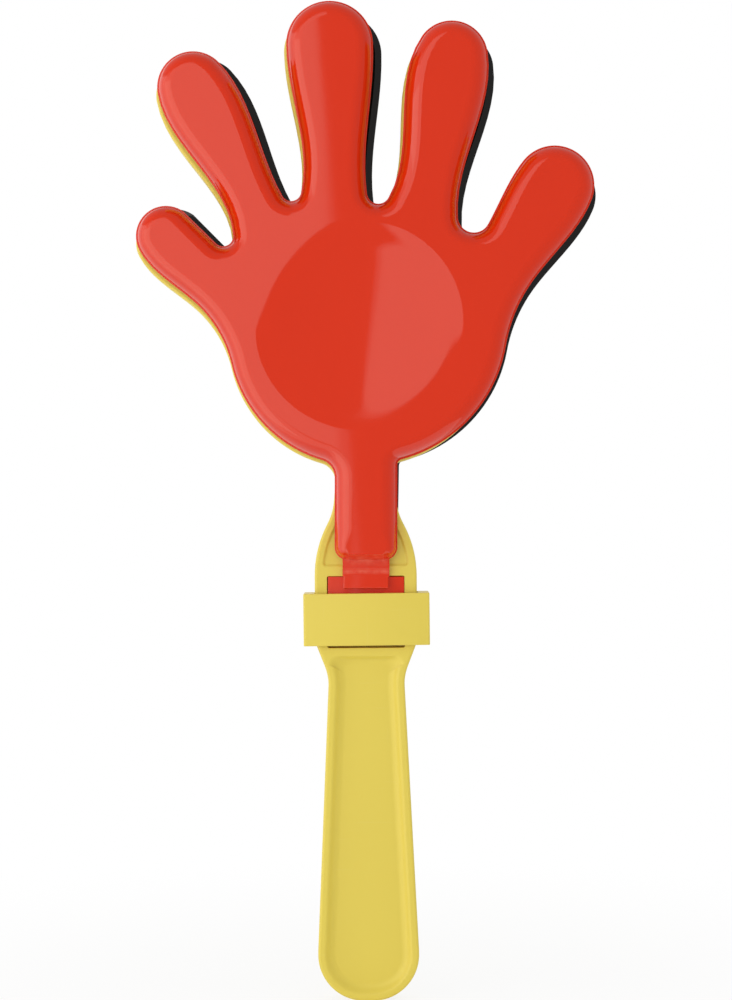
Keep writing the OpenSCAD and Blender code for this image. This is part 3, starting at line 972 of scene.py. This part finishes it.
def moulded_plastic(name, colour, deep, scuffed, whitened_and_sheen, roughness, waves, peel, scuffs):
    """Plastic whose pigment drifts between two colours, with scuffs, stress whitening and a painted
    highlight where the stress attribute says, sink waves and peel.
    """
    material = bpy.data.materials.new(name)
    material.use_nodes = True
    tree = material.node_tree
    shader = tree.nodes["Principled BSDF"]
    shader.inputs["IOR"].default_value = PLASTIC_IOR

    skin = node_of(tree, "ShaderNodeGroup", node_tree=SKIN_GROUP)
    skin.inputs["Waves"].default_value = waves
    skin.inputs["Peel"].default_value = peel
    scuff = node_of(tree, "ShaderNodeGroup", node_tree=SCUFF_GROUP)
    scuff.inputs["Amount"].default_value = scuffs

    tint = mix_colour(tree, skin.outputs["Drift"], colour, deep)
    tint = mix_colour(tree, scuff.outputs["Mask"], tint, scuffed)
    stress_and_sheen_level, blotched_whitening_and_sheen = stress_and_sheen_masks(tree)
    # Whitening colour: real stress whitening on a crease, and a painted highlight on the stem's end
    # slope
    tint = mix_colour(tree, blotched_whitening_and_sheen, tint, whitened_and_sheen)
    tree.links.new(tint, shader.inputs["Base Color"])

    dull = node_of(tree, "ShaderNodeMath", operation="ADD")
    dull.inputs[1].default_value = roughness
    duller = node_of(tree, "ShaderNodeMath", operation="MULTIPLY_ADD")
    duller.inputs[1].default_value = STRESS_DULLING
    tree.links.new(scuff.outputs["Mask"], dull.inputs[0])
    tree.links.new(stress_and_sheen_level, duller.inputs[0])
    tree.links.new(dull.outputs[0], duller.inputs[2])
    tree.links.new(duller.outputs[0], shader.inputs["Roughness"])

    bump = node_of(tree, "ShaderNodeBump", Strength=1.0, Distance=BUMP_HEIGHT)
    tree.links.new(skin.outputs["Height"], bump.inputs["Height"])
    tree.links.new(bump.outputs["Normal"], shader.inputs["Normal"])
    return material


# Each tint's whitened colour is real stress whitening on a crease, and a painted highlight on the
# stem's end slope
RED = dict(
    colour=(0.69, 0.029, 0.003),
    deep=(0.67, 0.026, 0.002),
    scuffed=(0.74, 0.1, 0.06),
    whitened_and_sheen=(0.76, 0.115, 0.06),
)
YELLOW = dict(
    colour=(0.755, 0.61, 0.09),
    deep=(0.725, 0.585, 0.085),
    scuffed=(0.78, 0.67, 0.24),
    whitened_and_sheen=(0.85, 0.78, 0.5),
)
BLACK = dict(
    colour=(0.006, 0.004, 0.0038),
    deep=(0.004, 0.0028, 0.0026),
    scuffed=(0.05, 0.05, 0.05),
    whitened_and_sheen=(0.1, 0.1, 0.1),
)
GLOSS = dict(roughness=0.035, waves=0.4, peel=0.005, scuffs=0.05)
SATIN = dict(roughness=0.38, waves=0.8, peel=0.03, scuffs=0.2)


# Stage, in metres

AMBIENT = 0.72
FLOOR_HALF = 30
FLOOR_WHITE = 0.85
# Share of glow in the floor's look, near the object and from a distance on, and those distances
GLOW_NEAR, GLOW_FAR = 0.85, 1
NEAR, FAR = 0.03, 0.25
# Slightly warm lamps
WARM = (1, 0.95, 0.8)
# The photograph's view: the lens in pixels of the 1000-pixel side, and the camera's place
LENS_PX = 2125
FRAME_PX = 1000
SENSOR = 36
CAMERA_PLACE = (0.00025, -0.6, 0.091)
CAMERA_ROLL = 0.45
# The near edge of the window that the flat of the red hand mirrors, and the edge's lean
WINDOW_EDGE_X = -0.014
WINDOW_LEAN = 4
# Dim surroundings that the gloss mirrors beside and above the window: plans and heights
DIM_LEVEL = 0.4
ROOM_PLAN = [(WINDOW_EDGE_X, -1.55), (1.6, -1.55), (2.2, 0.6), (1.4, 2.6), (0.2, 3)]
ROOM_LOW, ROOM_HIGH = -2, 2
STAND_PLAN = [(-0.2, -1.53), (WINDOW_EDGE_X, -1.53)]
STAND_LOW, STAND_HIGH = -0.6, 0.05
CEILING_Z = 1.2
CEILING_LEFT, CEILING_RIGHT = -2, 2
CEILING_FRONT, CEILING_REAR = -1.1, 1.5


def seen_as_background(tree):
    """1 for rays that show the background: from the camera, in gloss and through clear parts."""
    rays = tree.nodes.new("ShaderNodeLightPath")
    seen = rays.outputs["Is Camera Ray"]
    for label in ("Is Glossy Ray", "Is Transmission Ray"):
        either = node_of(tree, "ShaderNodeMath", operation="MAXIMUM")
        tree.links.new(seen, either.inputs[0])
        tree.links.new(rays.outputs[label], either.inputs[1])
        seen = either.outputs[0]
    return seen


def make_world():
    """White to the camera, and a quieter even light on everything."""
    world = bpy.data.worlds.new("white_room")
    bpy.context.scene.world = world
    world.use_nodes = True
    tree = world.node_tree
    level = node_of(tree, "ShaderNodeMapRange")
    level.inputs["To Min"].default_value = AMBIENT
    level.inputs["To Max"].default_value = 1
    tree.links.new(seen_as_background(tree), level.inputs["Value"])
    background = tree.nodes["Background"]
    background.inputs["Color"].default_value = (1, 1, 1, 1)
    tree.links.new(level.outputs["Result"], background.inputs["Strength"])


def make_floor(z):
    """Wide pale floor under the butt: it glows white to the camera and keeps a soft shadow."""
    bm = bmesh.new()
    corners = [(-1, -1), (1, -1), (1, 1), (-1, 1)]
    bm.faces.new([bm.verts.new((x * FLOOR_HALF, y * FLOOR_HALF, z)) for x, y in corners])
    mesh = bpy.data.meshes.new("pale_floor")
    bm.to_mesh(mesh)
    bm.free()
    material = bpy.data.materials.new("pale_floor")
    material.use_nodes = True
    tree = material.node_tree
    tree.nodes.remove(tree.nodes["Principled BSDF"])
    diffuse = node_of(tree, "ShaderNodeBsdfDiffuse")
    diffuse.inputs["Color"].default_value = (FLOOR_WHITE, FLOOR_WHITE, FLOOR_WHITE, 1)
    glow = node_of(tree, "ShaderNodeEmission", Strength=1.0)
    place = node_of(tree, "ShaderNodeTexCoord")
    distance = node_of(tree, "ShaderNodeVectorMath", operation="LENGTH")
    fade = node_of(tree, "ShaderNodeMapRange", interpolation_type="SMOOTHSTEP")
    fade.inputs["From Min"].default_value = NEAR
    fade.inputs["From Max"].default_value = FAR
    fade.inputs["To Min"].default_value = GLOW_NEAR
    fade.inputs["To Max"].default_value = GLOW_FAR
    share = node_of(tree, "ShaderNodeMath", operation="MULTIPLY")
    mix = tree.nodes.new("ShaderNodeMixShader")
    tree.links.new(place.outputs["Object"], distance.inputs[0])
    tree.links.new(distance.outputs["Value"], fade.inputs["Value"])
    tree.links.new(fade.outputs["Result"], share.inputs[1])
    tree.links.new(seen_as_background(tree), share.inputs[0])
    tree.links.new(share.outputs[0], mix.inputs[0])
    tree.links.new(diffuse.outputs[0], mix.inputs[1])
    tree.links.new(glow.outputs[0], mix.inputs[2])
    tree.links.new(mix.outputs[0], tree.nodes["Material Output"].inputs["Surface"])
    mesh.materials.append(material)
    floor = bpy.data.objects.new("pale_floor", mesh)
    bpy.context.scene.collection.objects.link(floor)
    floor.visible_glossy = False
    floor.visible_shadow = False


def softbox(name, start, end, low, high, radiance, lean=0, in_gloss=True):
    """Rectangular lamp between two plan points and two heights, facing the object."""
    middle = (low + high) / 2
    start, end = Vector((*start, middle)), Vector((*end, middle))
    along = end - start
    lamp = bpy.data.lights.new(name, "AREA")
    lamp.shape = "RECTANGLE"
    lamp.size = along.length
    lamp.size_y = high - low
    lamp.color = WARM
    lamp.energy = radiance * math.pi * lamp.size * lamp.size_y
    obj = bpy.data.objects.new(name, lamp)
    x_axis = along.normalized()
    y_axis = Vector((0, 0, 1))
    z_axis = x_axis.cross(y_axis)
    centre = (start + end) / 2
    if z_axis.dot(centre) < 0:
        x_axis, z_axis = -x_axis, -z_axis
    turn = Matrix((x_axis, y_axis, z_axis)).transposed().to_4x4()
    obj.matrix_world = Matrix.Translation(centre) @ turn @ Matrix.Rotation(math.radians(lean), 4, "Z")
    obj.visible_camera = False
    obj.visible_glossy = in_gloss
    bpy.context.scene.collection.objects.link(obj)


def leaning(plan, z, lean):
    """Points over a plan at a height, on a wall that leans sideways about the camera's height."""
    shift = -(z - CAMERA_PLACE[2]) * math.tan(math.radians(lean))
    return [(x + shift, y, z) for x, y in plan]


def dim_card(name, *edges):
    """Dim sheet between two edges of points, that only the gloss shows."""
    bm = bmesh.new()
    rows = [[bm.verts.new(point) for point in edge] for edge in edges]
    for i in range(1, len(rows[0])):
        bm.faces.new((rows[0][i - 1], rows[0][i], rows[1][i], rows[1][i - 1]))
    mesh = bpy.data.meshes.new(name)
    bm.to_mesh(mesh)
    bm.free()
    material = bpy.data.materials.new(name)
    material.use_nodes = True
    tree = material.node_tree
    tree.nodes.remove(tree.nodes["Principled BSDF"])
    glow = node_of(tree, "ShaderNodeEmission", Strength=DIM_LEVEL)
    tree.links.new(glow.outputs[0], tree.nodes["Material Output"].inputs["Surface"])
    mesh.materials.append(material)
    card = bpy.data.objects.new(name, mesh)
    card.visible_camera = False
    card.visible_diffuse = False
    card.visible_shadow = False
    bpy.context.scene.collection.objects.link(card)


def make_camera():
    """Camera at the photograph's place, level and square to the handle but for its roll."""
    camera = bpy.data.cameras.new("front_camera")
    camera.sensor_width = SENSOR
    camera.lens = SENSOR * LENS_PX / FRAME_PX
    obj = bpy.data.objects.new("front_camera", camera)
    obj.location = CAMERA_PLACE
    obj.rotation_euler = (math.radians(90), math.radians(CAMERA_ROLL), 0)
    bpy.context.scene.collection.objects.link(obj)
    bpy.context.scene.camera = obj


make_camera()
make_world()
make_floor(cad_box[0].z)
softbox(
    "left_window",
    start=(WINDOW_EDGE_X, -1.5),
    end=(-1.5, 0.3),
    low=-1.3,
    high=0.9,
    radiance=0.6,
    lean=WINDOW_LEAN,
)
softbox("left_softbox", start=(-0.4, -0.7), end=(-0.8, -0.1), low=-0.55, high=0.4, radiance=0.8)
softbox(
    "right_softbox",
    start=(1.0, -0.7),
    end=(1.2, 0.2),
    low=-0.7,
    high=0.4,
    radiance=0.85,
    in_gloss=False,
)
softbox(
    "rear_softbox",
    start=(-0.6, 1.1),
    end=(0.6, 1.1),
    low=0.7,
    high=1.5,
    radiance=1.5,
    in_gloss=False,
)
dim_card("dim_room", *[leaning(ROOM_PLAN, z, WINDOW_LEAN) for z in (ROOM_LOW, ROOM_HIGH)])
dim_card("camera_stand", *[leaning(STAND_PLAN, z, 0) for z in (STAND_LOW, STAND_HIGH)])
dim_card(
    "ceiling",
    *[
        [(x, y, CEILING_Z) for x in (CEILING_LEFT, CEILING_RIGHT)]
        for y in (CEILING_FRONT, CEILING_REAR)
    ],
)
bpy.context.scene.view_settings.view_transform = "Standard"

yellow = moulded_plastic("satin_yellow", **YELLOW, **SATIN)
handle = make_handle(yellow)
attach(handle, "handle")
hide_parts("middle_hand_handle")

sleeve = make_clamp_band(yellow)
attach(sleeve, "handle")
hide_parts("clamp_band")

LOOSE_HANDS = (
    ("front", 1, FRONT_SKEW, "red", RED),
    ("rear", -1, REAR_SKEW, "black", BLACK),
)
for where, side, skew, shade, tints in LOOSE_HANDS:
    place = hinged(skew, side)
    gloss = moulded_plastic(f"gloss_{shade}", **tints, **GLOSS)
    hand = make_loose_hand(f"{where}_hand_shell", place, gloss)
    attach(hand, f"{where}_hand")
    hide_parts(f"{where}_hand")
    tab = make_hinge_tab(f"{where}_tab", place, gloss)
    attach(tab, "handle")
    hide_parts(f"{where}_hinge_tab")
    strip = make_living_hinge(f"{where}_crease", place, gloss)
    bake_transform(strip)
    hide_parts(f"{where}_living_hinge")
